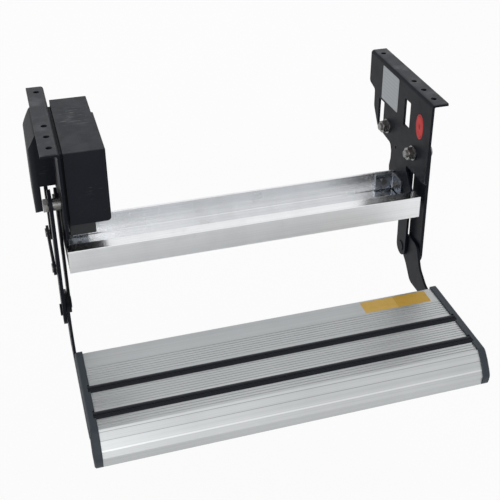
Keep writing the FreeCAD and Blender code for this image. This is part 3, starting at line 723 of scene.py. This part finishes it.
# Blank rating plate, red disc and yellow sticker. Power is that of the outline's superellipse.

labels = {
    "rimDrop": 0.5,
    "rimPower": 20,
    "depth": 0.00002,
    "rounding": 0.0001,
}


def makeLabel(name, label, outward, material, body):
    # A thin plate whose height is thick * (1 - rimDrop * r^rimPower), so only its rim is lower.
    def top(u, v, ring):
        return label["thick"] * (1 - labels["rimDrop"] * ring ** labels["rimPower"])

    grid = pad(label["centre"], outward, label["half"], label["power"], top)
    makePiece(name, [grid], material, body)


ratingPlate = {
    "centre": (0.270, 0.0333, -0.0363),
    "half": (0.0317, 0.0287),
    "thick": 0.0004,
    "power": 30,
    "paper": (0.36, 0.385, 0.405),
    "ruled": (0.20, 0.215, 0.235),
    "rules": (0.0210, 0.0150, 0.0090, 0.0030, -0.0030, -0.0090, -0.0150, -0.0210),
    "ruleReach": (0.00042, 0.0002),
    "border": (0.0030, 0.0023),         # inner and outer edge of the border line, from the rim
    "borderSoft": 0.0002,
    "margin": 0.0050,
    "marginSoft": 0.0003,
    "cloud": (160, 4.0),
    "shares": (0.7, 0.12),              # of rules and cloud
    "roughness": (0.34, 0.46),
    "roughNoise": (90, 3.0),
    "grain": (500, 3.0),
}


def makeRatingPlate():
    skin = ratingPlate
    material, recipe = newFinish("ratingPlate")
    y, z = recipe.axes()[1:]
    across, up = y - skin["centre"][1], z - skin["centre"][2]
    a, b = skin["half"]
    inside, outside = [recipe.near(across, 0.0, a - inset, skin["borderSoft"])
                       * recipe.near(up, 0.0, b - inset, skin["borderSoft"]) for inset in skin["border"]]
    lines = (1 - inside) * outside
    for level in skin["rules"]:
        lines = lines + (recipe.near(up, level, *skin["ruleReach"])
                         * recipe.near(across, 0.0, a - skin["margin"], skin["marginSoft"]))
    lineShare, cloudShare = skin["shares"]
    colour = recipe.tint(lines * lineShare + recipe.noise(*skin["cloud"]) * cloudShare,
                         skin["paper"], skin["ruled"])
    low, high = skin["roughness"]
    rough = low + recipe.noise(*skin["roughNoise"]) * (high - low)
    recipe.finish(colour, rough, 0.0, recipe.noise(*skin["grain"]), labels["depth"], labels["rounding"])
    makeLabel("ratingPlate", skin, (-1, 0, 0), material, "frame")


redDisc = {
    "centre": (0.270, -0.0815, -0.0515),
    "half": (0.0125, 0.0205),
    "thick": 0.0004,
    "power": 2,
    "red": (0.60, 0.042, 0.042),
    "deep": (0.22, 0.016, 0.016),
    "dot": (0.0, 0.035, 0.02),
    "ring": (0.74, 0.035, 0.04),
    "fade": ((120, 4.0), 0.45, 0.75),
    "shares": (0.9, 0.6, 0.14),         # of dot, ring and fade
    "roughness": (0.45, 0.60),
    "gloss": 0.13,
    "grain": (600, 3.0),
}


def makeRedDisc():
    skin = redDisc
    material, recipe = newFinish("redDisc")
    y, z = recipe.axes()[1:]
    wide, high = skin["half"]
    across, up = (y - skin["centre"][1]) * (1 / wide), (z - skin["centre"][2]) * (1 / high)
    away = across * across + up * up        # 0 in the middle, 1 on the rim
    fade = recipe.patches(*skin["fade"])
    dotShare, ringShare, fadeShare = skin["shares"]
    marks = recipe.near(away, *skin["dot"]) * dotShare + recipe.near(away, *skin["ring"]) * ringShare
    colour = recipe.tint(marks + fade * fadeShare, skin["red"], skin["deep"])
    low, high = skin["roughness"]
    recipe.finish(colour, low + fade * (high - low), 0.0, recipe.noise(*skin["grain"]),
                  labels["depth"], labels["rounding"], skin["gloss"])
    makeLabel("redDisc", skin, (-1, 0, 0), material, "frame")


yellowSticker = {
    "centre": (0.2066, -0.1778, -0.300),
    "half": (0.0545, 0.0135),
    "thick": 0.0003,
    "power": 40,
    "yellow": (0.60, 0.380, 0.080),
    "deep": (0.46, 0.265, 0.018),
    "field": (0.0270, 0.0270, 0.0006),      # the right half is a deeper yellow
    "fade": ((70, 5.0), 0.42, 0.75),
    "shares": (0.7, 0.22),                  # of the field and fade
    "roughness": (0.42, 0.57),
    "grain": (500, 3.0),
}


def makeYellowSticker():
    skin = yellowSticker
    material, recipe = newFinish("yellowSticker")
    across = recipe.axes()[0] - skin["centre"][0]
    fade = recipe.patches(*skin["fade"])
    fieldShare, fadeShare = skin["shares"]
    colour = recipe.tint(recipe.near(across, *skin["field"]) * fieldShare + fade * fadeShare,
                         skin["yellow"], skin["deep"])
    low, high = skin["roughness"]
    recipe.finish(colour, low + fade * (high - low), 0.0, recipe.noise(*skin["grain"]),
                  labels["depth"], labels["rounding"])
    makeLabel("yellowSticker", skin, (0, 0, 1), material, "tread")


makeRatingPlate()
makeRedDisc()
makeYellowSticker()
print("plate, disc and sticker made")


# Screws with a cross recess.

panScrews = {
    "radius": 0.0050,
    "height": 0.0024,
    "domePower": 5,
    "domeShape": 0.45,
    "recess": 0.0014,
    "slot": (0.0006, 0.0026),
    "slotPower": 6,
    "grid": (30, 80),           # rings and spokes
    "crease": 1.0,
}


def screwTop(u, v, ring):
    # A low dome, height * (1 - r^domePower)^domeShape, less recess times a cross. Each bar of the cross is
    # 1 / (1 + (u/wide)^slotPower + (v/long)^slotPower).
    dome = panScrews["height"] * (1 - ring ** panScrews["domePower"]) ** panScrews["domeShape"]
    (wide, long), power = panScrews["slot"], panScrews["slotPower"]
    bars = [1 / (1 + np.abs(a / wide) ** power + np.abs(b / long) ** power) for a, b in ((u, v), (v, u))]
    return dome - panScrews["recess"] * np.maximum(*bars)


def makeScrews(name, node, seats, outward, body):
    half = (panScrews["radius"], panScrews["radius"])
    grids = [pad(seat, outward, half, 2, screwTop, *panScrews["grid"]) for seat in seats]
    piece = makePiece(name, grids, zincMaterial, body, panScrews["crease"])
    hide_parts(node)


def treadScrewSeats():
    # Three screws in each plate's flange, from the box of all six: ends and middle along the depth.
    low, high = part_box("tread_screws")
    radius = panScrews["radius"]
    return [(x, y, low[2] + panScrews["height"]) for x in (low[0] + radius, high[0] - radius)
            for y in (low[1] + radius, (low[1] + high[1]) / 2, high[1] - radius)]


def guardScrewSeats():
    low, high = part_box("guard_screws")
    x, middle = low[0] + panScrews["height"], (low[2] + high[2]) / 2
    return [(x, y, middle) for y in (low[1] + panScrews["radius"], high[1] - panScrews["radius"])]


makeScrews("crossScrewsTread", "tread_screws", treadScrewSeats(), (0, 0, -1), "tread")
makeScrews("crossScrewsGuard", "guard_screws", guardScrewSeats(), (-1, 0, 0), "frame")


# Thread on the ends of the three pivot bolts, beyond their nuts.

boltEnds = {
    "places": ((-0.0675, -0.103), (0.0335, -0.103)),    # y and z of the front and the rear pivot
    "inset": 0.00901,           # from a nut's seat to where the thread starts, a hair beyond the nut
    "radius": 0.0060,
    "crest": 0.00004,
    "threadDepth": 0.00045,
    "pitch": 0.00175,
    "reach": 0.0042,
    "points": 40,
    "chamfer": (0.001, 1.1),    # length and slope
    "tip": ((0.0001, 0.0044), (-0.0003, 0.0036), (-0.0003, 0.0)),   # rise above reach, and radius
}


def threadProfile():
    # The radius is less by threadDepth * (0.5 + 0.5 cos(2 pi along / pitch)), a ridge for each pitch, and
    # the tip is chamfered and slightly dished.
    reach, (length, slope) = boltEnds["reach"], boltEnds["chamfer"]
    along = np.linspace(0.0, reach, boltEnds["points"])
    ridge = 0.5 + 0.5 * np.cos(2 * np.pi * along / boltEnds["pitch"])
    radius = boltEnds["radius"] + boltEnds["crest"] - boltEnds["threadDepth"] * ridge
    radius = np.minimum(radius, boltEnds["radius"] - slope * np.maximum(along - reach + length, 0))
    rises, widths = zip(*boltEnds["tip"])
    return np.array([0.0, *along, *(reach + rise for rise in rises)]), np.array([0.0, *radius, *widths])


def makeBoltEnds():
    low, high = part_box("pivot_nuts")
    along, radius = threadProfile()
    inset = boltEnds["inset"]
    grids = [lathe((high[0] - inset, y, z), (-1, 0, 0), along, radius) for y, z in boltEnds["places"]]
    grids.append(lathe((low[0] + inset, *boltEnds["places"][0]), (1, 0, 0), along, radius))
    makePiece("threadedEnds", grids, zincMaterial, "frame")


makeBoltEnds()


# Fluted cable gland: a skirt with flutes, then a dome that closes on the cable's bore, and the bore's
# wall back inside. The profile gives the share of the length, the share of the radius, and how deep the
# flutes are.

cableGland = {
    "length": 0.0140,
    "flutes": 12,
    "fluteDepth": 0.0007,
    "spokes": 96,
    "crease": 0.9,
    "profile": ((0.0, 0.0, 0), (0.0, 0.94, 0.3), (0.02, 1.0, 1), (0.30, 1.0, 1), (0.52, 0.99, 0.9),
                (0.60, 0.95, 0.2), (0.72, 0.93, 0.1), (0.84, 0.86, 0), (0.93, 0.75, 0), (0.98, 0.64, 0),
                (1.0, 0.56, 0), (1.0, 0.46, 0), (0.9, 0.45, 0), (0.2, 0.45, 0), (0.2, 0.0, 0)),
}


def makeGland():
    low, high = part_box("cable_gland")
    radius = (high[0] - low[0]) / 2
    centre = ((low[0] + high[0]) / 2, high[1] - cableGland["length"], (low[2] + high[2]) / 2)
    share, width, flute = np.array(cableGland["profile"]).T
    grid = lathe(centre, (0, 1, 0), share * cableGland["length"], width * radius, cableGland["spokes"],
                 cableGland["flutes"], (flute * cableGland["fluteDepth"])[:, None])
    piece = makePiece("flutedGland", [grid], coverMaterial, "frame", cableGland["crease"])
    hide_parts("cable_gland")


makeGland()
print("fasteners and gland made")
